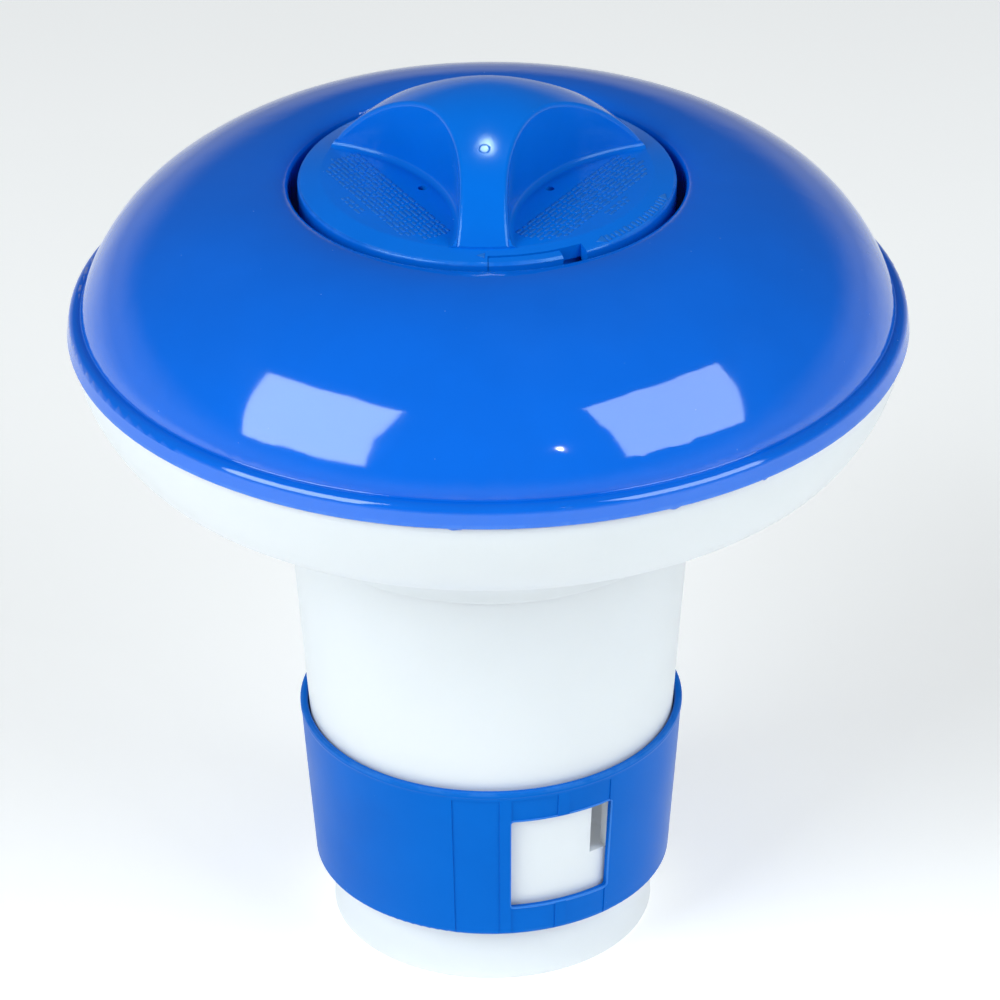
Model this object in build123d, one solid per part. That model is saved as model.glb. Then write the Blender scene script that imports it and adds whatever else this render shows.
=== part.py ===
from build123d import *
import math
import os

# Floating chlorine dispenser, large size (203 mm float, takes 76 mm tablets).
# Units: millimetres. +Z up. Origin: centre of the base's resting face.
# The front is -Y: the lock tab, the ring's window and the cap's front arm are there.

os.makedirs("parts", exist_ok=True)

# ---------------------------------------------------------------- driving sizes
R_RIM = 101.5            # float, outside radius of the rim band (203 mm across)
WALL = 2.2               # moulded wall of both float halves and the cap
H_TOTAL = 226.1          # base to the top of the grip

# float, top half
Z_BAND = 164.7           # lower edge of the blue rim band
Z_PART = 168.4           # edge between the band and its shoulder
Z_CREASE = 170.8         # bottom of the dome, where it meets the shoulder
R_CREASE = 97.95
R_WELL = 47.5            # well round the cap
Z_WELL = 201.6           # where the well wall starts to roll over into the dome
Z_WELL_FLOOR = 186.5
Z_LAND = 166.9           # land inside the band that the bowl's rim is welded to
R_NECK_O = 41.0          # filler neck and throat tube
R_NECK_I = 38.8
Z_NECK_TOP = 201.0
Z_THROAT_END = 115.1

# float, lower half
R_HUB = 50.1             # shoulder under the bowl that the canister butts against
Z_HUB = 114.6
Z_HUB_TOP = 117.4
Z_SPIGOT = 107.0         # lower end of the spigot inside the canister's mouth
SPIGOT_GAP = 0.05

# canister
TAPER = 0.0735           # radius gained per millimetre of height
R_CAN_REF, Z_CAN_REF = 45.45, 58.8
R_FOOT = 40.2            # at the bottom; the foot narrows slightly upwards
FOOT_DRAFT = 0.5
Z_FOOT = 17.5            # top of the straight foot
Z_STEP = 22.5            # where the canister's full width starts
T_CAN = 2.2
T_FLOOR = 2.6

# flow ring
Z_RING_0, Z_RING_1 = 16.4, 59.6
RING_GAP = 0.40          # running clearance on the canister
T_RING = 1.8
R_LIP = 47.75
RING_WIN = (5.4, 39.2)   # window, degrees round from the front
RING_WIN_Z = (24.3, 50.9)
PANEL_W = 14.3           # shallow panels, degrees
PANEL_C = (-4.95, 12.9, 30.9)
PANEL_DEPTH = 0.3
# slots in the canister behind the ring
SLOT_FIRST = 33.2        # left edge of the first slot, degrees from the front
SLOT_W = 6.6             # degrees
SLOT_PITCH = 11.0
SLOT_Z = (35.4, 54.0)
N_SLOTS = 3

# cap
CAP_TURN = -1.6          # how far the grip sits from dead centre, degrees
R_CAP = 45.2
Z_CAP_RIM = 203.4
Z_CAP_FLOOR = 204.7      # floor of the three finger recesses
R_CAP_FLOOR = 39.8
Z_SKIRT = 190.0
R_SKIRT_I = 42.8
SCOOP_C = 59.6           # axis of each scoop from the cap's axis
SCOOP_R = 46.05
ROOT_R = 1.6             # rounding where the grip's walls meet the recess floors
VENT_R, VENT_D = 17.4, 2.2
CAP_TOP = [(0.0, H_TOTAL), (7.0, 225.5), (14.0, 223.6), (20.0, 221.2), (25.0, 218.7),
           (30.0, 215.5), (35.0, 211.2), (38.2, 207.7), (40.0, 205.2)]
# lock tab: a tongue in the skirt wall, free at its right-hand end
TAB_A0, TAB_A1 = 0.0, 22.9       # degrees round from the front
NOTCH_A1 = 30.8
TAB_Z = 197.4
TAB_GAP = 0.45
SLIT_R0, SLIT_R1 = 42.3, 42.85


def V(r, z):
    return Vector(r, 0, z)


def line(a, b):
    return Edge.make_line(V(*a), V(*b))


def spline(pts, t0=None, t1=None):
    if t0 is None:
        return Edge.make_spline([V(*p) for p in pts])
    return Edge.make_spline([V(*p) for p in pts], scale=False,
                            tangents=[Vector(t0[0], 0, t0[1]).normalized(), Vector(t1[0], 0, t1[1]).normalized()])


def arc3(a, m, b):
    return Edge.make_three_point_arc(V(*a), V(*m), V(*b))


def poly(*pts):
    return [line(pts[i], pts[i + 1]) for i in range(len(pts) - 1)]


def spin(edges):
    """Solid of revolution about Z from a closed loop of edges in the XZ plane."""
    face = Face(Wire(edges))
    s = Solid.revolve(face, 360, Axis.Z)
    return s if s.volume > 0 else Solid(s.wrapped.Reversed())


def lathe(*pts):
    """Solid of revolution from a closed polygon of (radius, height) points."""
    return spin(poly(*pts, pts[0]))


def offset_pts(pts, d):
    """Points moved by d to the right of the direction of travel."""
    out = []
    n = len(pts)
    for i, (x, z) in enumerate(pts):
        x0, z0 = pts[max(i - 1, 0)]
        x1, z1 = pts[min(i + 1, n - 1)]
        dx, dz = x1 - x0, z1 - z0
        k = math.hypot(dx, dz)
        out.append((x + d * dz / k, z - d * dx / k))
    return out


def sector(r0, r1, a0, a1, z0, z1):
    """Curved block: radii r0..r1, heights z0..z1, from a0 to a1 degrees
    counted from the front (-Y) towards +X."""
    face = Face(Wire(poly((r0, z0), (r1, z0), (r1, z1), (r0, z1), (r0, z0))))
    s = Solid.revolve(face, a1 - a0, Axis.Z)
    return s.rotate(Axis.Z, a0 - 90)


def cone_sector(prof, a0, a1):
    """The same, from a closed polygon of (radius, height) points."""
    face = Face(Wire(poly(*prof, prof[0])))
    return Solid.revolve(face, a1 - a0, Axis.Z).rotate(Axis.Z, a0 - 90)


def one(shape):
    s = shape.solids()
    assert len(s) == 1, f"{len(s)} solids"
    return s[0]


def can_r(z):
    return R_CAN_REF + TAPER * (z - Z_CAN_REF)


def save(name, solid):
    solid.label = name
    export_step(solid, f"parts/{name}.step")
    print(f"{name:18s} volume {solid.volume / 1000:8.2f} cm3")


# ------------------------------------------------------------ float_top_shell
dome = [(R_WELL, Z_WELL), (47.95, 202.75), (49.5, 203.65), (52.8, 204.0), (57.0, 203.75),
        (61.0, 203.05), (66.0, 201.75), (71.0, 199.9), (76.1, 197.35), (80.2, 194.75),
        (86.3, 189.9), (91.4, 184.2), (95.0, 178.4), (97.1, 173.8), (R_CREASE, Z_CREASE)]
inner = offset_pts(dome[1:], WALL)
inner = [p for p in inner if p[0] > R_WELL + WALL + 0.4 and p[1] > Z_CREASE + 0.4]
inner = [(R_WELL + WALL, 199.3)] + inner[1:] + [(95.7, 170.3)]
shoulder_top = (R_CREASE + 0.55, Z_CREASE - 0.42)
top_edges = [
    spline(dome, (0, 1), (0.16, -1)),
    arc3(dome[-1], (R_CREASE + 0.16, Z_CREASE - 0.36), shoulder_top),
    arc3(shoulder_top, (100.35, 169.75), (101.05, Z_PART)),
    line((101.05, Z_PART), (R_RIM, Z_BAND + 0.7)),
    arc3((R_RIM, Z_BAND + 0.7), (R_RIM - 0.18, Z_BAND + 0.18), (R_RIM - 0.7, Z_BAND)),
    *poly((R_RIM - 0.7, Z_BAND), (99.4, Z_BAND), (99.4, Z_LAND), (96.9, Z_LAND), inner[-1]),
    spline(inner[::-1]),
    *poly(inner[0], (R_WELL + WALL, Z_WELL_FLOOR - WALL),
          (R_NECK_O + 0.05, Z_WELL_FLOOR - WALL), (R_NECK_O + 0.05, Z_WELL_FLOOR + 2.0),
          (R_NECK_O + 1.45, Z_WELL_FLOOR + 2.0), (R_NECK_O + 1.45, Z_WELL_FLOOR),
          (R_WELL, Z_WELL_FLOOR), dome[0]),
]
top_shell = spin(top_edges)
# stop rib on the well wall, just ahead of the lock tab's tooth
top_shell = top_shell + sector(46.6, R_WELL + 0.5, TAB_A1 + 1.4, TAB_A1 + 3.0, Z_WELL_FLOOR - 0.4, 199.6)
save("float_top_shell", one(top_shell))

# ---------------------------------------------------------------- filler_neck
# the tube that the tablets drop down, from the cap to the canister; it also ties
# the well of the top half to the hub of the lower half
neck = spin([
    *poly((R_NECK_I, Z_NECK_TOP - 0.8), (R_NECK_I, Z_THROAT_END), (R_NECK_O, Z_THROAT_END),
          (R_NECK_O, Z_WELL_FLOOR - WALL - 1.8), (R_NECK_O + 2.6, Z_WELL_FLOOR - WALL - 1.8),
          (R_NECK_O + 2.6, Z_WELL_FLOOR - WALL), (R_NECK_O, Z_WELL_FLOOR - WALL), (R_NECK_O, Z_NECK_TOP - 0.8)),
    arc3((R_NECK_O, Z_NECK_TOP - 0.8), (R_NECK_O - 0.23, Z_NECK_TOP - 0.23), (R_NECK_O - 0.8, Z_NECK_TOP)),
    line((R_NECK_O - 0.8, Z_NECK_TOP), (R_NECK_I + 0.8, Z_NECK_TOP)),
    arc3((R_NECK_I + 0.8, Z_NECK_TOP), (R_NECK_I + 0.23, Z_NECK_TOP - 0.23), (R_NECK_I, Z_NECK_TOP - 0.8)),
])
# three bayonet lugs, each with a stop rib for the closed cap and one for the open cap
for k in range(3):
    a = 120 * k
    neck = neck + sector(R_NECK_O - 0.5, 42.35, a - 20, a + 20, 195.8, 198.3)
    neck = neck + sector(R_NECK_O - 0.5, 42.35, a - 23.5, a - 20.9, 192.6, 198.3)
    neck = neck + sector(R_NECK_O - 0.5, 42.35, a + 81.5, a + 83.5, 192.6, 198.3)
save("filler_neck", one(neck))

# ----------------------------------------------------------- float_lower_bowl
def spigot_r(z):
    return can_r(z) - T_CAN - SPIGOT_GAP


bowl = [(100.0, 164.0), (99.9, 161.6), (99.2, 157.9), (98.0, 154.4), (96.4, 151.1), (94.2, 147.3),
        (91.4, 143.7), (88.0, 140.9), (84.0, 138.8), (78.0, 136.5), (70.0, 133.4), (62.0, 129.0),
        (56.5, 124.6), (53.0, 120.9), (51.0, 118.4), (50.3, 116.6), (R_HUB, 115.2)]
bowl_in = offset_pts(bowl, WALL)
bowl_in = [(97.2, 164.0)] + [p for p in bowl_in[1:] if p[1] > Z_HUB_TOP + 3.2 and p[0] < 97.75]
bowl_edges = [
    *poly((97.2, Z_LAND), (99.2, Z_LAND), (99.2, 164.3), (99.75, 164.3)),
    line((99.75, 164.3), bowl[0]),
    spline(bowl, (0, -1), (0, -1)),
    *poly(bowl[-1], (R_HUB - 0.25, Z_HUB), (spigot_r(Z_HUB), Z_HUB), (spigot_r(Z_SPIGOT + 0.8), Z_SPIGOT + 0.8),
          (spigot_r(Z_SPIGOT) - 0.8, Z_SPIGOT), (spigot_r(Z_SPIGOT) - 2.0, Z_SPIGOT), (spigot_r(Z_SPIGOT) - 2.0, Z_HUB),
          (spigot_r(Z_SPIGOT) - 3.0, Z_THROAT_END), (R_NECK_O + 0.1, Z_THROAT_END),
          (R_NECK_O + 0.1, 124.5), (R_NECK_O + 2.1, 124.5), (R_NECK_O + 2.1, Z_HUB_TOP + 0.6),
          (R_NECK_O + 2.7, Z_HUB_TOP), (49.3, Z_HUB_TOP + 0.0), bowl_in[-1]),
    spline(bowl_in[::-1]),
    line(bowl_in[0], (97.2, Z_LAND)),
]
save("float_lower_bowl", one(spin(bowl_edges)))

# ----------------------------------------------------------- tablet_canister
zt = Z_HUB
canister = spin([
    *poly((0, 1.6), (34.0, 1.6), (35.2, 0.0), (R_FOOT - 1.0, 0.0)),
    arc3((R_FOOT - 1.0, 0.0), (R_FOOT - 0.3, 0.3), (R_FOOT, 1.0)),
    line((R_FOOT, 1.0), (R_FOOT - FOOT_DRAFT, Z_FOOT)),
    spline([(R_FOOT - FOOT_DRAFT, Z_FOOT), ((R_FOOT - FOOT_DRAFT + can_r(Z_STEP)) / 2, (Z_FOOT + Z_STEP) / 2),
            (can_r(Z_STEP), Z_STEP)], (0, 1), (TAPER, 1)),
    *poly((can_r(Z_STEP), Z_STEP), (can_r(zt), zt), (can_r(zt) - T_CAN, zt),
          (can_r(Z_STEP + 1) - T_CAN, Z_STEP + 1)),
    spline([(can_r(Z_STEP + 1) - T_CAN, Z_STEP + 1), ((R_FOOT - FOOT_DRAFT + can_r(Z_STEP)) / 2 - T_CAN, (Z_FOOT + Z_STEP) / 2 + 1),
            (R_FOOT - FOOT_DRAFT - T_CAN, Z_FOOT + 1)], (-TAPER, -1), (0, -1)),
    line((R_FOOT - FOOT_DRAFT - T_CAN, Z_FOOT + 1), (R_FOOT - T_CAN, 4.2)),
    arc3((R_FOOT - T_CAN, 4.2), (R_FOOT - T_CAN - 0.3, 3.4), (R_FOOT - T_CAN - 1.1, 3.1)),
    *poly((R_FOOT - T_CAN - 1.1, 3.1), (0, 3.1), (0, 1.6)),
])
# flow slots, in two groups half a turn apart
for side in (0, 180):
    for i in range(N_SLOTS):
        a0 = SLOT_FIRST + i * SLOT_PITCH + side
        canister = canister - sector(38, 50, a0, a0 + SLOT_W, *SLOT_Z)
# drain slots in the floor
for k in range(6):
    slot = extrude(Plane.XY * Pos(22, 0) * SlotOverall(14.0, 3.2), 8)
    canister = canister - slot.rotate(Axis.Z, 30 + 60 * k)
save("tablet_canister", one(canister))

# ----------------------------------------------------------------- flow_ring
def ring_o(z):
    return can_r(z) + RING_GAP + T_RING


def ring_i(z):
    return can_r(z) + RING_GAP


ring = spin([
    *poly((ring_i(Z_RING_0 + 0.5), Z_RING_0 + 0.5), (ring_i(Z_RING_0 + 0.5) + 0.5, Z_RING_0),
          (ring_o(Z_RING_0) - 0.6, Z_RING_0)),
    arc3((ring_o(Z_RING_0) - 0.6, Z_RING_0), (ring_o(Z_RING_0) - 0.17, Z_RING_0 + 0.17), (ring_o(Z_RING_0 + 0.6), Z_RING_0 + 0.6)),
    spline([(ring_o(Z_RING_0 + 0.6), Z_RING_0 + 0.6), (ring_o(34), 34.0), (ring_o(50), 50.0),
            (ring_o(Z_RING_1 - 2.2) - 0.05, Z_RING_1 - 2.2)]),
    arc3((ring_o(Z_RING_1 - 2.2) - 0.05, Z_RING_1 - 2.2), (R_LIP - 0.2, Z_RING_1 - 1.75), (R_LIP, Z_RING_1 - 1.2)),
    line((R_LIP, Z_RING_1 - 1.2), (R_LIP, Z_RING_1 - 0.4)),
    arc3((R_LIP, Z_RING_1 - 0.4), (R_LIP - 0.12, Z_RING_1 - 0.12), (R_LIP - 0.4, Z_RING_1)),
    *poly((R_LIP - 0.4, Z_RING_1), (ring_i(Z_RING_1) + 0.35, Z_RING_1), (ring_i(Z_RING_1 - 0.35), Z_RING_1 - 0.35),
          (ring_i(Z_RING_0 + 0.5), Z_RING_0 + 0.5)),
])
for side in (0, 180):
    # shallow panels with the narrow ribs between them
    for c in PANEL_C:
        a0, a1 = c - PANEL_W / 2 + side, c + PANEL_W / 2 + side
        z0, z1 = Z_RING_0 - 1, Z_RING_1 - 2.4
        prof = [(ring_o(z0) - PANEL_DEPTH, z0), (ring_o(z0) + 3, z0), (ring_o(z1) + 3, z1), (ring_o(z1) - PANEL_DEPTH, z1)]
        ring = ring - cone_sector(prof, a0, a1)
    # window, with its small raised frame left standing at the panel depth
    win = sector(40, 52, RING_WIN[0] + side, RING_WIN[1] + side, *RING_WIN_Z)
    corner = [e for e in win.edges() if abs(e.tangent_at(0.5).Z) < 0.2 and e.length > 5
              and abs(e.center().Z - sum(RING_WIN_Z) / 2) > 10 and e.geom_type == GeomType.LINE]
    win = win.fillet(0.9, corner)
    ring = ring - win
save("flow_ring", one(ring))

# --------------------------------------------------------------- closure_cap
def scoops(r, z0, z1):
    out = []
    for k in range(3):
        t = math.radians(90 + 120 * k)
        c = Pos(SCOOP_C * math.cos(t), SCOOP_C * math.sin(t), z0)
        out.append(c * Cylinder(r, z1 - z0, align=(Align.CENTER, Align.CENTER, Align.MIN)))
    return out


zf = Z_CAP_FLOOR
grip = spin([spline(CAP_TOP, (1, 0), (0.62, -0.8)), *poly(CAP_TOP[-1], (CAP_TOP[-1][0], zf - 1.2), (0, zf - 1.2), CAP_TOP[0])])
blank = grip
for c in scoops(SCOOP_R, zf - 5, H_TOTAL + 5):
    grip = grip - c
grip = one(grip)
edges = [e for e in grip.edges() if e.center().Z > zf + 2 and e.geom_type != GeomType.LINE
         and e.length > 20]
grip = one(grip.fillet(1.1, edges))
# coves where the grip's walls meet the recess floors
q = ROOT_R * (1 - math.sqrt(0.5))
cove = spin([
    line((SCOOP_R - ROOT_R, zf), (SCOOP_R + 0.5, zf)),
    line((SCOOP_R + 0.5, zf), (SCOOP_R + 0.5, zf + ROOT_R)),
    line((SCOOP_R + 0.5, zf + ROOT_R), (SCOOP_R, zf + ROOT_R)),
    arc3((SCOOP_R, zf + ROOT_R), (SCOOP_R - q, zf + q), (SCOOP_R - ROOT_R, zf)),
])
for k in range(3):
    t = math.radians(90 + 120 * k)
    piece = (Pos(SCOOP_C * math.cos(t), SCOOP_C * math.sin(t), 0) * cove) & blank
    for solid in piece.solids():
        grip = grip + solid
grip = one(grip)

plate = spin([
    *poly((0, zf - 2.4), (0, zf), (R_CAP_FLOOR - 0.4, zf), (R_CAP_FLOOR + 0.1, zf - 0.05),
          (R_CAP - 0.7, Z_CAP_RIM + 0.12)),
    arc3((R_CAP - 0.7, Z_CAP_RIM + 0.12), (R_CAP - 0.18, Z_CAP_RIM - 0.2), (R_CAP, Z_CAP_RIM - 0.75)),
    *poly((R_CAP, Z_CAP_RIM - 0.75), (R_CAP, Z_SKIRT + 0.5), (R_CAP - 0.5, Z_SKIRT), (R_SKIRT_I, Z_SKIRT),
          (R_SKIRT_I, Z_CAP_RIM - 3.4), (R_SKIRT_I - 1.6, zf - 2.4), (0, zf - 2.4)),
])
cap = plate + grip
# hollow inside the grip
core_top = [(r, z - 2.6) for r, z in CAP_TOP[:-2]] + [(37.4, 205.6)]
core = spin([spline(core_top, (1, 0), (0.5, -0.86)), *poly(core_top[-1], (37.4, zf - 4), (0, zf - 4), core_top[0])])
for c in scoops(SCOOP_R + 2.2, zf - 6, H_TOTAL + 5):
    core = core - c
cap = cap - one(core)
cap = one(cap).rotate(Axis.Z, CAP_TURN)
# vents
for k in range(3):
    t = math.radians(90 + 120 * k + CAP_TURN)
    cap = cap - Pos(VENT_R * math.cos(t), VENT_R * math.sin(t), zf - 5) * Cylinder(VENT_D / 2, 10, align=(Align.CENTER, Align.CENTER, Align.MIN))
# bayonet lugs inside the skirt
for k in range(3):
    a = 120 * k
    cap = cap + sector(41.35, R_SKIRT_I + 0.4, a - 20, a + 20, 192.9, 195.5)
# slit behind the lock tab, the tab's own space and the finger notch
cap = cap - sector(SLIT_R0, SLIT_R1 + 0.3, TAB_A0, NOTCH_A1, TAB_Z - TAB_GAP, H_TOTAL)
cap = cap - sector(SLIT_R0 + 0.2, R_CAP + 2, TAB_A0, NOTCH_A1, TAB_Z - TAB_GAP, H_TOTAL)
save("closure_cap", one(cap))

# -------------------------------------------------------------- cap_lock_tab
def band_z(r):
    return zf - (r - R_CAP_FLOOR) * (zf - 0.05 - Z_CAP_RIM - 0.12) / (R_CAP - 0.7 - R_CAP_FLOOR - 0.1)


tab_root = TAB_A0 + 0.22
tab = cone_sector([(SLIT_R1, TAB_Z), (R_CAP, TAB_Z), (R_CAP, Z_CAP_RIM - 0.55), (R_CAP - 0.45, Z_CAP_RIM + 0.05),
                   (SLIT_R1, band_z(SLIT_R1) - 0.1)], tab_root, TAB_A1)
tooth = cone_sector([(R_CAP - 0.4, TAB_Z), (R_CAP + 0.75, TAB_Z), (R_CAP + 0.75, TAB_Z + 1.6), (R_CAP - 0.4, TAB_Z + 3.0)],
                    TAB_A1 - 4.0, TAB_A1)
tab = tab + tooth
save("cap_lock_tab", one(tab))
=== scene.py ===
import bpy, bmesh, math, random
from mathutils import Vector, Quaternion, Matrix


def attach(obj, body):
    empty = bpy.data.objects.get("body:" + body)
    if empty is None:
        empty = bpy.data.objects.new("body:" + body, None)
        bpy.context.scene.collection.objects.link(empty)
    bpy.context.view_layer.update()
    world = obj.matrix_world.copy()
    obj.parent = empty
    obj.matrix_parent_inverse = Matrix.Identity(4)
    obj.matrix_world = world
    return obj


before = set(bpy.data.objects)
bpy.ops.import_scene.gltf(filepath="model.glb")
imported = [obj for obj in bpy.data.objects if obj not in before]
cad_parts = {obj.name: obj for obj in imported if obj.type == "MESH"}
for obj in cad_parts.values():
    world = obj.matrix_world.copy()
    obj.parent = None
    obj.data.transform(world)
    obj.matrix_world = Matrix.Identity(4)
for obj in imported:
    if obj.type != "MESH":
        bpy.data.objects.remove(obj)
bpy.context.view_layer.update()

rng = random.Random(7)
MM = 0.001


# ------------------------------------------------------------------ camera
TARGET = Vector((0.0, 0.0, 0.1148))
EL = math.radians(29.70)
DIST = 1.4413
cam_data = bpy.data.cameras.new("camera")
cam_data.lens = 211.3
cam_data.sensor_width = 36.0
cam_data.shift_x = 0.0104
cam_data.clip_start = 0.05
cam_data.clip_end = 50.0
cam = bpy.data.objects.new("camera", cam_data)
bpy.context.scene.collection.objects.link(cam)
cam.location = TARGET + Vector((0.0, -DIST * math.cos(EL), DIST * math.sin(EL)))
look = (TARGET - cam.location).to_track_quat("-Z", "Y")
cam.rotation_mode = "QUATERNION"
cam.rotation_quaternion = look @ Quaternion((0, 0, 1), math.radians(-0.46))
bpy.context.scene.camera = cam

scene = bpy.context.scene
scene.view_settings.view_transform = "Standard"
scene.view_settings.look = "None"
scene.view_settings.exposure = 0.0
scene.view_settings.gamma = 1.0


# ------------------------------------------------------------- node helpers
class Tree:
    def __init__(self, name):
        self.mat = bpy.data.materials.new(name)
        self.mat.use_nodes = True
        self.t = self.mat.node_tree
        self.t.nodes.clear()
        self.out = self.t.nodes.new("ShaderNodeOutputMaterial")
        self.bsdf = self.t.nodes.new("ShaderNodeBsdfPrincipled")
        self.link(self.bsdf.outputs[0], self.out.inputs["Surface"])
        self.tc = self.t.nodes.new("ShaderNodeTexCoord")
        self.co = self.tc.outputs["Object"]

    def link(self, a, b):
        self.t.links.new(a, b)

    def put(self, v, sock):
        if hasattr(v, "links"):
            self.link(v, sock)
        else:
            sock.default_value = v

    def math(self, op, a, b=0.0, c=0.0, clamp=False):
        n = self.t.nodes.new("ShaderNodeMath")
        n.operation = op
        n.use_clamp = clamp
        self.put(a, n.inputs[0])
        self.put(b, n.inputs[1])
        self.put(c, n.inputs[2])
        return n.outputs[0]

    def ramp(self, v, lo, hi, a=0.0, b=1.0, smooth=True):
        n = self.t.nodes.new("ShaderNodeMapRange")
        n.interpolation_type = "SMOOTHSTEP" if smooth else "LINEAR"
        n.clamp = True
        self.put(v, n.inputs["Value"])
        for k, x in (("From Min", lo), ("From Max", hi), ("To Min", a), ("To Max", b)):
            self.put(x, n.inputs[k])
        return n.outputs["Result"]

    def scaled(self, sx, sy, sz, rot=(0, 0, 0)):
        n = self.t.nodes.new("ShaderNodeMapping")
        n.inputs["Scale"].default_value = (sx, sy, sz)
        n.inputs["Rotation"].default_value = rot
        self.link(self.co, n.inputs["Vector"])
        return n.outputs["Vector"]

    def noise(self, scale, detail=2.0, rough=0.5, vec=None, distortion=0.0):
        n = self.t.nodes.new("ShaderNodeTexNoise")
        self.link(vec if vec is not None else self.co, n.inputs["Vector"])
        n.inputs["Scale"].default_value = scale
        n.inputs["Detail"].default_value = detail
        n.inputs["Roughness"].default_value = rough
        n.inputs["Distortion"].default_value = distortion
        return n.outputs["Fac"]

    def specks(self, scale, size, share, vec=None):
        """Sparse small round specks: 1 inside a speck, 0 elsewhere."""
        n = self.t.nodes.new("ShaderNodeTexVoronoi")
        n.feature = "F1"
        self.link(vec if vec is not None else self.co, n.inputs["Vector"])
        n.inputs["Scale"].default_value = scale
        sep = self.t.nodes.new("ShaderNodeSeparateColor")
        self.link(n.outputs["Color"], sep.inputs[0])
        keep = self.math("LESS_THAN", sep.outputs[0], share)
        big = self.math("MULTIPLY_ADD", sep.outputs[1], size * 0.9, size * 0.35)
        inside = self.math("SUBTRACT", big, n.outputs["Distance"])
        inside = self.ramp(inside, 0.0, size * 0.35)
        return self.math("MULTIPLY", inside, keep)

    def rz(self):
        """(radius from the axis, height) as sockets."""
        s = self.t.nodes.new("ShaderNodeSeparateXYZ")
        self.link(self.co, s.inputs[0])
        x2 = self.math("MULTIPLY", s.outputs[0], s.outputs[0])
        y2 = self.math("MULTIPLY_ADD", s.outputs[1], s.outputs[1], x2)
        return self.math("SQRT", y2), s.outputs[2]

    def mix(self, f, a, b):
        n = self.t.nodes.new("ShaderNodeMix")
        n.data_type = "RGBA"
        self.put(f, n.inputs["Factor"])
        for v, k in ((a, 6), (b, 7)):
            if isinstance(v, tuple):
                n.inputs[k].default_value = (*v, 1.0)
            else:
                self.link(v, n.inputs[k])
        return n.outputs[2]

    def bump(self, height, dist, strength=1.0, normal=None):
        n = self.t.nodes.new("ShaderNodeBump")
        n.inputs["Strength"].default_value = strength
        n.inputs["Distance"].default_value = dist
        self.link(height, n.inputs["Height"])
        if normal is not None:
            self.link(normal, n.inputs["Normal"])
        return n.outputs["Normal"]


def plastic(name, deep, light, pale, rough, waviness, grain, dust, scuff, painted_edge_light=(), ior=1.5, sss=0.0, seed=0.0,
            level=0.5, tint=(1.0, 1.0, 1.0)):
    """Injection or blow moulded plastic: slow colour drift, a slightly wavy skin,
    fine grain, rubbed patches and dust, and edges painted paler or darker as painted light and shade.
    The edge rings are a list of (radius, height, width) rings, in metres, where an edge gets a painted highlight, or
    painted shade where pale is darker than the body."""
    t = Tree(name)
    shifted = t.t.nodes.new("ShaderNodeMapping")
    shifted.inputs["Location"].default_value = (seed, seed * 0.7, seed * 1.3)
    t.link(t.tc.outputs["Object"], shifted.inputs["Vector"])
    moved = shifted.outputs["Vector"]
    drift = t.noise(9.0, 3.0, 0.55, moved)
    cloud = t.noise(38.0, 3.0, 0.6, moved)
    f = t.math("MULTIPLY_ADD", cloud, 0.35, t.math("MULTIPLY", drift, 0.65))
    col = t.mix(t.ramp(f, 0.36, 0.66), deep, light)
    # rubbed patches, a little duller than the rest
    rub = t.ramp(t.noise(30.0, 2.0, 0.5, moved), 0.50, 0.78)
    speck = t.specks(150.0, 0.045, 0.16, moved)
    fleck = t.specks(420.0, 0.075, 0.10, moved)
    motes = t.math("MAXIMUM", speck, t.math("MULTIPLY", fleck, 0.6))
    edge = None
    # edge rings: a thin band round each (radius, height) is mixed towards pale, a painted highlight on the blue parts
    # and painted shade on the white parts, where pale is darker
    if painted_edge_light:
        r, z = t.rz()
        for wr, wz, ww in painted_edge_light:
            dr = t.math("SUBTRACT", r, wr)
            dz = t.math("SUBTRACT", z, wz)
            d = t.math("SQRT", t.math("MULTIPLY_ADD", dr, dr, t.math("MULTIPLY", dz, dz)))
            band = t.ramp(d, ww * 0.3, ww, 1.0, 0.0)
            edge = band if edge is None else t.math("MAXIMUM", edge, band)
        edge = t.math("MULTIPLY", edge, t.ramp(t.noise(160.0, 3.0, 0.6, moved), 0.42, 0.62, 0.25, 1.0))
        col = t.mix(t.math("MULTIPLY", edge, 0.10), col, pale)
    col = t.mix(t.math("MULTIPLY", rub, 0.012 * scuff), col, pale)
    col = t.mix(t.math("MULTIPLY", motes, dust), col, pale)
    t.link(col, t.bsdf.inputs["Base Color"])
    rg = t.ramp(t.noise(16.0, 3.0, 0.55, moved), 0.3, 0.7, rough * 0.82, rough * 1.22)
    rg = t.math("MULTIPLY_ADD", rub, 0.05 * scuff, rg)
    rg = t.math("MULTIPLY_ADD", motes, 0.35, rg)
    if edge is not None:
        rg = t.math("MULTIPLY_ADD", edge, 0.08, rg)
    t.link(t.math("MINIMUM", rg, 0.9), t.bsdf.inputs["Roughness"])
    n1 = t.bump(t.noise(26.0, 2.0, 0.5, moved), waviness, 1.0)
    n2 = t.bump(t.noise(900.0, 2.0, 0.6, moved), grain, 0.6, n1)
    n3 = t.bump(motes, 0.00005, 0.6, n2)
    t.link(n3, t.bsdf.inputs["Normal"])
    t.bsdf.inputs["IOR"].default_value = ior
    t.bsdf.inputs["Specular IOR Level"].default_value = level
    t.bsdf.inputs["Specular Tint"].default_value = (*tint, 1.0)
    if sss:
        t.bsdf.inputs["Subsurface Weight"].default_value = sss
        t.bsdf.inputs["Subsurface Radius"].default_value = (1.0, 0.95, 0.9)
        t.bsdf.inputs["Subsurface Scale"].default_value = 0.004
    return t.mat


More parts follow.
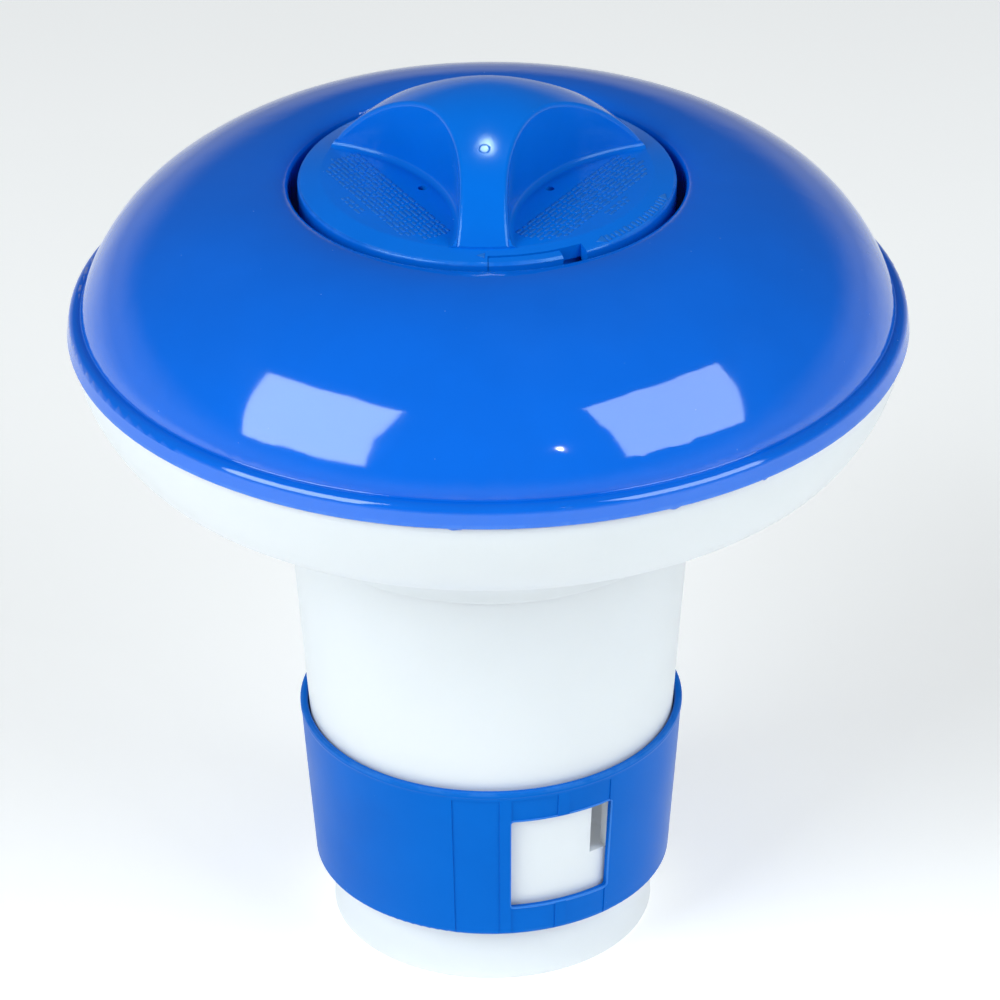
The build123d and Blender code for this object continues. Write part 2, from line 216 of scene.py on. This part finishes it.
BLUE_DEEP, BLUE_LIGHT, BLUE_PALE = (0.0002, 0.142, 0.75), (0.0003, 0.156, 0.82), (0.20, 0.46, 0.88)
# the edge rings on the float's rim, the cap's rim and the ring's edges paint a paler blue line there, a painted
# highlight
mat_dome = plastic("blue_gloss_float", BLUE_DEEP, BLUE_LIGHT, BLUE_PALE, 0.065, 0.00022, 0.000006, 0.55, 0.6,
                   painted_edge_light=[(0.1015, 0.1652, 0.0010)], seed=0.31, level=0.80, tint=(0.92, 1.0, 1.0))
mat_cap = plastic("blue_satin_cap", (0.0004, 0.156, 0.72), (0.0006, 0.172, 0.79), BLUE_PALE, 0.15, 0.00003, 0.000006, 0.4, 0.5,
                  painted_edge_light=[(0.0450, 0.2032, 0.0009)], seed=0.77, level=0.38, tint=(0.62, 1.0, 1.0))
mat_tab = plastic("blue_satin_tab", (0.0004, 0.156, 0.72), (0.0006, 0.172, 0.79), BLUE_PALE, 0.15, 0.00003, 0.000006, 0.3, 0.5,
                  painted_edge_light=[(0.0450, 0.2032, 0.0009)], seed=0.52, level=0.38, tint=(0.62, 1.0, 1.0))
# a paler blue for the raised marks; on the window lips the same paler blue is a painted highlight
mat_marks_and_lip_highlight = plastic("blue_raised_marks_and_lip_highlight", (0.014, 0.178, 0.68), (0.024, 0.205, 0.73), (0.30, 0.52, 0.88), 0.36, 0.00001, 0.000006, 0.2, 0.4,
                   seed=0.15, level=0.45, tint=(0.7, 1.0, 1.0))
mat_neck = plastic("blue_satin_neck", (0.0012, 0.112, 0.60), (0.0020, 0.130, 0.66), BLUE_PALE, 0.37, 0.00012, 0.000012, 0.2, 0.6, seed=0.93)
mat_ring = plastic("blue_satin_ring", (0.0003, 0.112, 0.53), (0.0006, 0.130, 0.59), BLUE_PALE, 0.34, 0.00006, 0.000012, 0.3, 0.6,
                   painted_edge_light=[(0.0476, 0.0595, 0.0009), (0.0446, 0.0166, 0.0009)], seed=1.11, level=0.10, tint=(0.2, 1.0, 1.0))
mat_bowl = plastic("white_float_bowl", (0.775, 0.812, 0.836), (0.793, 0.828, 0.850), (0.60, 0.60, 0.58), 0.37, 0.00008, 0.000008, 0.08, 0.0,
                   seed=1.73, sss=0.25, level=0.4)
# the edge ring at the canister's foot mixes towards a darker grey, a painted shade line where it meets the floor
mat_can = plastic("white_canister", (0.788, 0.824, 0.850), (0.804, 0.838, 0.864), (0.58, 0.58, 0.56), 0.37, 0.00006, 0.000008, 0.08, 0.0,
                  painted_edge_light=[(0.0402, 0.0006, 0.0012)], seed=2.41, sss=0.45, level=0.4)

for node, mat in (("float_top_shell", mat_dome), ("float_lower_bowl", mat_bowl), ("tablet_canister", mat_can),
                  ("flow_ring", mat_ring), ("closure_cap", mat_cap), ("cap_lock_tab", mat_tab), ("filler_neck", mat_neck)):
    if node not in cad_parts:
        continue
    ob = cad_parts[node]
    for s in ob.material_slots:
        s.material = mat
    if not ob.material_slots:
        ob.data.materials.append(mat)


# ------------------------------------------------------------ mesh helpers
def mesh_piece(name, bm, mat, body, smooth=True):
    me = bpy.data.meshes.new(name)
    bmesh.ops.recalc_face_normals(bm, faces=bm.faces)
    bm.to_mesh(me)
    bm.free()
    for p in me.polygons:
        p.use_smooth = smooth
    ob = bpy.data.objects.new(name, me)
    bpy.context.scene.collection.objects.link(ob)
    me.materials.append(mat)
    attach(ob, body)
    return ob


def pillow(bm, outline, lift, height, inset, at):
    """A small raised mark with a rolled edge. outline is a list of (u, v) points in
    millimetres, at(u, v) gives the surface point and its normal."""
    n = len(outline)
    cu = sum(p[0] for p in outline) / n
    cv = sum(p[1] for p in outline) / n

    def ring(shrink, h):
        out = []
        for u, v in outline:
            du, dv = u - cu, v - cv
            k = math.hypot(du, dv) or 1.0
            s = max(k - shrink, k * 0.3) / k
            p, nrm = at(cu + du * s, cv + dv * s)
            out.append(bm.verts.new((p + nrm * h) * MM))
        return out

    rings = [ring(0.0, -lift), ring(0.0, height * 0.45), ring(inset * 0.4, height * 0.85), ring(inset, height)]
    for a, b in zip(rings, rings[1:]):
        for i in range(n):
            bm.faces.new((a[i], a[(i + 1) % n], b[(i + 1) % n], b[i]))
    bm.faces.new(rings[-1])
    bm.faces.new(rings[0][::-1])


def stadium(u, v, length, width, seg=4):
    """Outline of a bar with round ends along u, centred at (u, v)."""
    r = width / 2
    h = max(length / 2 - r, 0.0)
    pts = []
    for i in range(seg + 1):
        a = -math.pi / 2 + math.pi * i / seg
        pts.append((u + h + r * math.cos(a), v + r * math.sin(a)))
    for i in range(seg + 1):
        a = math.pi / 2 + math.pi * i / seg
        pts.append((u - h + r * math.cos(a), v + r * math.sin(a)))
    return pts


# -------------------------------------------------- raised marks on the cap
CAP_TURN = -1.6
Z_FLOOR = 204.7
R_FLOOR, R_RIMC, Z_RIMC = 39.9, 44.5, 203.52
SCOOP_C, SCOOP_R = 59.6, 46.05


def band_at(ang_deg, r):
    """Point and normal on the cap's sloping rim band; angle from the front, towards +X."""
    a = math.radians(ang_deg - 90)
    s = (Z_RIMC - (Z_FLOOR - 0.05)) / (R_RIMC - R_FLOOR)
    z = Z_FLOOR - 0.05 + (r - R_FLOOR) * s
    n = Vector((-s * math.cos(a), -s * math.sin(a), 1.0)).normalized()
    return Vector((r * math.cos(a), r * math.sin(a), z)), n


# a turn-both-ways arrow in place of any wording: two heads and a row of plain ticks
bm = bmesh.new()
K = math.degrees(1 / 43.4)


def arc_at(u, v):
    return band_at(55.8 + u * K, 43.35 + v)


L = 15.2
pillow(bm, [(-L, 0.0), (-L + 2.6, -1.15), (-L + 2.6, 1.15)], 0.15, 0.20, 0.25, arc_at)
pillow(bm, [(L, 0.0), (L - 2.6, 1.15), (L - 2.6, -1.15)], 0.15, 0.20, 0.25, arc_at)
u = -L + 3.5
i = 0
while u < L - 3.4:
    w = 0.62 if i % 2 else 0.9
    h = (1.9, 1.3, 1.9, 1.6)[i % 4]
    pillow(bm, [(u - w / 2, -h / 2), (u + w / 2, -h / 2), (u + w / 2, h / 2), (u - w / 2, h / 2)], 0.15, 0.18, 0.16, arc_at)
    u += 1.55
    i += 1
mesh_piece("cap_turn_marks", bm, mat_marks_and_lip_highlight, "cap")

# a pointer beside the lock tab
bm = bmesh.new()
pillow(bm, [(-1.05, 0.0), (0.75, 0.85), (0.75, -0.85)], 0.15, 0.22, 0.25, lambda u, v: band_at(-2.0 + u * K, 42.25 + v))
mesh_piece("cap_pointer", bm, mat_marks_and_lip_highlight, "cap")

# the small ring left by the moulding gate on the front arm's shoulder
gate_n = Vector((-0.025, -0.42, 0.9)).normalized()
gate_c = Vector((-0.57, -20.5, 0.0))
bm = bmesh.new()
hit, loc, nrm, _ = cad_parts["closure_cap"].ray_cast(Vector((gate_c.x, gate_c.y, 300.0)) * MM, Vector((0, 0, -1)))
gate_c = loc / MM if hit else Vector((gate_c.x, gate_c.y, 220.9))
gate_n = nrm.normalized() if hit else gate_n
g_x = gate_n.cross(Vector((0, 1, 0))).normalized()
g_y = gate_n.cross(g_x).normalized()
g_rings = []
for i in range(40):
    a = 2 * math.pi * i / 40
    c = gate_c + (g_x * math.cos(a) + g_y * math.sin(a)) * 1.25
    o = g_x * math.cos(a) + g_y * math.sin(a)
    g_rings.append([bm.verts.new((c + o * 0.22 * math.cos(b) + gate_n * (0.14 * math.sin(b) - 0.02)) * MM)
                    for b in [2 * math.pi * s / 10 for s in range(10)]])
for i in range(40):
    a, b = g_rings[i], g_rings[(i + 1) % 40]
    for s in range(10):
        bm.faces.new((a[s], a[(s + 1) % 10], b[(s + 1) % 10], b[s]))
mesh_piece("cap_gate_mark", bm, mat_cap, "cap")

# plain dashes in rows on the three recess floors, in place of small print
for k, nm in ((0, "back"), (1, "left"), (2, "right")):
    d = math.radians(90 + 120 * k + CAP_TURN)
    ex, ey = math.cos(d), math.sin(d)          # outwards
    tx, ty = -ey, ex                           # along the rows

    def floor_at(u, v, ex=ex, ey=ey, tx=tx, ty=ty):
        return Vector((ex * v + tx * u, ey * v + ty * u, Z_FLOOR)), Vector((0, 0, 1))

    bm = bmesh.new()
    rows = [(22.6 + 1.3 * j, 0.0) for j in range(9)]
    for j, (v, off) in enumerate(rows):
        wall = SCOOP_R ** 2 - (SCOOP_C - v) ** 2
        half = math.sqrt(max(wall, 0.0)) - 3.4
        rim = math.sqrt(max(38.6 ** 2 - v * v, 0.0)) - 0.4
        half = min(half, rim, 24.5) - (rng.random() * 1.6)
        u = -half
        while u < half - 1.0:
            ln = 0.9 + rng.random() * 2.6
            ln = min(ln, half - u)
            if ln > 0.7:
                pillow(bm, stadium(u + ln / 2, v, ln, 0.66 + 0.12 * rng.random(), 3), 0.1, 0.17, 0.14, floor_at)
            u += ln + 0.5 + 0.25 * rng.random()
    for j in range(2):
        v = 35.2 + 1.35 * j
        u = -4.6
        while u < 4.4:
            ln = 1.0 + rng.random() * 1.9
            pillow(bm, stadium(u + ln / 2, v, ln, 0.7, 3), 0.1, 0.13, 0.14, floor_at)
            u += ln + 0.55
    mesh_piece("cap_dash_rows_" + nm, bm, mat_marks_and_lip_highlight, "cap")


# ------------------------------------------ weld seam and moulding flash
def seam(name, r0, z0, rad, mat, body, rough=0.5, seed=3, n=720, a0=0.0, a1=360.0, sides=8):
    """A thin, slightly uneven bead of plastic that follows the rim."""
    g = random.Random(seed)
    ph = [g.random() * 6.28 for _ in range(8)]
    bm = bmesh.new()
    closed = abs(a1 - a0) >= 360.0
    rings = []
    cnt = n if closed else n + 1
    for i in range(cnt):
        t = i / n
        a = math.radians(a0 + (a1 - a0) * t - 90)
        w = 1.0
        for q, m in enumerate((7, 13, 29, 41, 67, 97, 151, 211)):
            w += rough * 0.22 * math.sin(m * a + ph[q])
        w = max(w, 0.25)
        if not closed:
            w *= min(1.0, 6 * t + 0.05, 6 * (1 - t) + 0.05)
        c = Vector((math.cos(a), math.sin(a), 0.0))
        ring = []
        for s in range(sides):
            b = 2 * math.pi * s / sides
            p = c * (r0 + rad * w * math.cos(b))
            p.z = z0 + rad * w * math.sin(b)
            ring.append(bm.verts.new(p * MM))
        rings.append(ring)
    for i in range(len(rings) - (0 if closed else 1)):
        a, b = rings[i], rings[(i + 1) % len(rings)]
        for s in range(sides):
            bm.faces.new((a[s], a[(s + 1) % sides], b[(s + 1) % sides], b[s]))
    if not closed:
        bm.faces.new(rings[0][::-1])
        bm.faces.new(rings[-1])
    return mesh_piece(name, bm, mat, body)


seam("rim_weld_bead", 100.02, 164.55, 0.22, mat_dome, "float", 0.9, 3)
for i, (a, span, rad) in enumerate(((-4.6, 2.6, 0.20), (24.3, 3.6, 0.22), (39.5, 2.4, 0.24), (151.0, 3.0, 0.22), (262.0, 2.2, 0.20))):
    seam(f"rim_flash_{i + 1}", 100.70, 164.72, rad, mat_dome, "float", 1.6, 20 + i, n=36, a0=a - span / 2, a1=a + span / 2)
# fine bead round the cap's rim, left out at the lock tab and its notch
seam("cap_rim_bead", 44.78, 203.36, 0.16, mat_cap, "cap", 0.05, 5, n=460, a0=31.4, a1=359.4)


# ---------------------------------------- rolled lips round the ring's windows, in the paler mark blue as a painted highlight
def tube(name, path, rad, mat, body, sides=8):
    """Closed bead of round section along a closed list of points, in millimetres."""
    bm = bmesh.new()
    n = len(path)
    rings = []
    for i, p in enumerate(path):
        t = (path[(i + 1) % n] - path[i - 1]).normalized()
        out = Vector((p.x, p.y, 0)).normalized()
        side = t.cross(out).normalized()
        out = side.cross(t).normalized()
        rings.append([bm.verts.new((p + out * rad * math.cos(2 * math.pi * s / sides)
                                    + side * rad * math.sin(2 * math.pi * s / sides)) * MM) for s in range(sides)])
    for i in range(n):
        a, b = rings[i], rings[(i + 1) % n]
        for s in range(sides):
            bm.faces.new((a[s], a[(s + 1) % sides], b[(s + 1) % sides], b[s]))
    return mesh_piece(name, bm, mat, body)


def ring_r(z):
    return 45.45 + 0.0735 * (z - 58.8) + 0.40 + 1.8 - 0.34


for side, nm in ((0, "front"), (180, "back")):
    a0, a1, z0, z1, rc = 5.4, 39.2, 24.3, 50.9, 0.9
    kk = math.degrees(1 / 46.6)
    loop = []
    for ca, cz, s0 in ((a1 - rc * kk, z1 - rc, 0), (a0 + rc * kk, z1 - rc, 90), (a0 + rc * kk, z0 + rc, 180), (a1 - rc * kk, z0 + rc, 270)):
        for q in range(5):
            b = math.radians(s0 + 22.5 * q)
            loop.append((ca + rc * kk * math.cos(b), cz + rc * math.sin(b)))
    pts = []
    for i, (a, z) in enumerate(loop):
        b, w = loop[(i + 1) % len(loop)]
        steps = max(1, int(math.hypot((b - a) / kk, w - z) / 1.2))
        for q in range(steps):
            aa, zz = a + (b - a) * q / steps, z + (w - z) * q / steps
            ang = math.radians(aa + side - 90)
            pts.append(Vector((ring_r(zz) * math.cos(ang), ring_r(zz) * math.sin(ang), zz)))
    # the paler mark blue on the lip is a painted highlight along the window edges
    tube("ring_window_lip_" + nm, pts, 0.30, mat_marks_and_lip_highlight, "ring")


# ------------------------------------------------------------------- stage
def floor_material():
    t = Tree("studio_floor")
    f = t.noise(3.0, 2.0, 0.5)
    t.link(t.mix(t.ramp(f, 0.3, 0.7), (0.90, 0.90, 0.90), (0.93, 0.93, 0.93)), t.bsdf.inputs["Base Color"])
    t.bsdf.inputs["Roughness"].default_value = 0.85
    t.bsdf.inputs["Specular IOR Level"].default_value = 0.15
    t.bsdf.inputs["Emission Color"].default_value = (1.0, 1.0, 1.0, 1.0)
    t.bsdf.inputs["Emission Strength"].default_value = 0.38
    return t.mat


bm = bmesh.new()
R = 4.0
ring = [bm.verts.new((R * math.cos(2 * math.pi * i / 96), R * math.sin(2 * math.pi * i / 96), 0.0)) for i in range(96)]
bm.faces.new(ring)
me = bpy.data.meshes.new("studio_floor")
bm.to_mesh(me)
bm.free()
floor = bpy.data.objects.new("studio_floor", me)
me.materials.append(floor_material())
bpy.context.scene.collection.objects.link(floor)

world = bpy.data.worlds.new("studio")
scene.world = world
world.use_nodes = True
wt = world.node_tree
bg = wt.nodes["Background"]
bg.inputs["Strength"].default_value = 1.0
w_co = wt.nodes.new("ShaderNodeTexCoord")
w_sep = wt.nodes.new("ShaderNodeSeparateXYZ")
w_map = wt.nodes.new("ShaderNodeMapRange")
w_map.interpolation_type = "SMOOTHSTEP"
for k, x in (("From Min", 0.03), ("From Max", 0.30), ("To Min", 0.42), ("To Max", 0.085)):
    w_map.inputs[k].default_value = x
wt.links.new(w_co.outputs["Generated"], w_sep.inputs[0])
wt.links.new(w_sep.outputs[2], w_map.inputs["Value"])
wt.links.new(w_map.outputs["Result"], bg.inputs["Color"])


def panel(name, az, el, dist, w, h, power, color=(1, 1, 1), shape="RECTANGLE", roll=0.0, spread=180.0):
    """A soft light; az is measured from the front towards +X, el above the floor."""
    d = bpy.data.lights.new(name, "AREA")
    d.shape = shape
    d.size = w
    if shape in ("RECTANGLE", "ELLIPSE"):
        d.size_y = h
    d.energy = power
    d.color = color
    d.spread = math.radians(spread)
    o = bpy.data.objects.new(name, d)
    a, e = math.radians(az), math.radians(el)
    v = Vector((math.sin(a) * math.cos(e), -math.cos(a) * math.cos(e), math.sin(e)))
    aim = Vector((0, 0, 0.16))
    o.location = aim + v * dist
    o.rotation_mode = "QUATERNION"
    o.rotation_quaternion = (-v).to_track_quat("-Z", "Y") @ Quaternion((0, 0, 1), math.radians(roll))
    bpy.context.scene.collection.objects.link(o)
    return o


SOFT = (0.90, 0.975, 1.0)
panel("softbox_left", -54, 33.5, 1.5, 0.96, 0.95, 16.8, SOFT, roll=9)
panel("softbox_right", 58, 34.5, 1.5, 0.98, 0.90, 12.0, SOFT, roll=-10)
hub = panel("cap_light", 180, 76, 1.3, 0.14, 0.14, 1.9, shape="DISK")
panel("spark", 20, 30, 1.4, 0.022, 0.022, 0.35, shape="DISK")
# daylight that soaks through the translucent canister into its chamber
glow = bpy.data.lights.new("chamber_glow", "POINT")
glow.energy = 0.012
glow.shadow_soft_size = 0.012
glow_o = bpy.data.objects.new("chamber_glow", glow)
glow_o.location = (0.0, 0.0, 0.060)
bpy.context.scene.collection.objects.link(glow_o)
glow_o.visible_camera = False
# the small top light only touches the cap, like a snooted lamp
only = bpy.data.collections.new("cap_light_receivers")
for name in ("closure_cap", "cap_lock_tab"):
    only.objects.link(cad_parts[name])
hub.light_linking.receiver_collection = only
